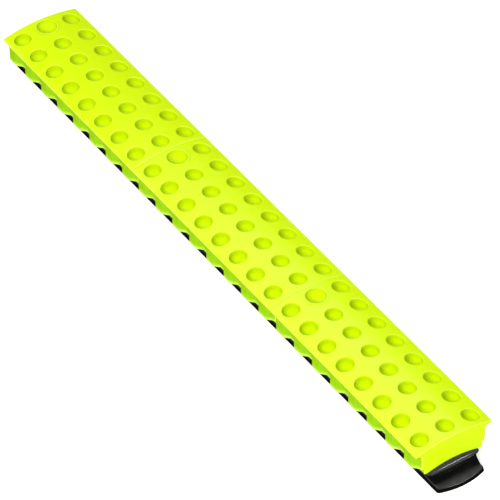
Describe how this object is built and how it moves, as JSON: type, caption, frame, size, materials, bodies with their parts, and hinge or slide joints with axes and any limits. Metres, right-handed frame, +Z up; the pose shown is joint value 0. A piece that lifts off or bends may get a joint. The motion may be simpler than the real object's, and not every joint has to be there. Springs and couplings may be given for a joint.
{
  "type": "rubber speed bump",
  "caption": "Straight sectional speed bump: yellow pocketed rubber caps with scalloped sides on a black rubber base rail, held down by plugged anchor bolts.",
  "frame": {"origin": "on the road, at the centre of the footprint", "axes": "+X along the bump, towards the end whose cap has its anchor farthest from that end; +Y across it; +Z up"},
  "size_m": [0.9604, 0.1108, 0.0672],
  "materials": {
    "cap_yellow": "moulded, satin",
    "rail_black": "moulded, semi-gloss",
    "zinc_steel": "zinc plated"
  },
  "bodies": {
    "root": {"cap_far": "cap_yellow", "cap_middle": "cap_yellow", "cap_near": "cap_yellow", "base_rail": "rail_black", "anchor_plug_far": "cap_yellow", "anchor_plug_middle": "cap_yellow", "anchor_plug_near": "cap_yellow", "anchor_bolt_far": "zinc_steel", "anchor_bolt_middle": "zinc_steel", "anchor_bolt_near": "zinc_steel", "anchor_washer_far": "zinc_steel", "anchor_washer_middle": "zinc_steel", "anchor_washer_near": "zinc_steel", "anchor_sleeve_far": "zinc_steel", "anchor_sleeve_middle": "zinc_steel", "anchor_sleeve_near": "zinc_steel", "anchor_tee_nut_far": "zinc_steel", "anchor_tee_nut_middle": "zinc_steel", "anchor_tee_nut_near": "zinc_steel"}
  },
  "joints": []
}
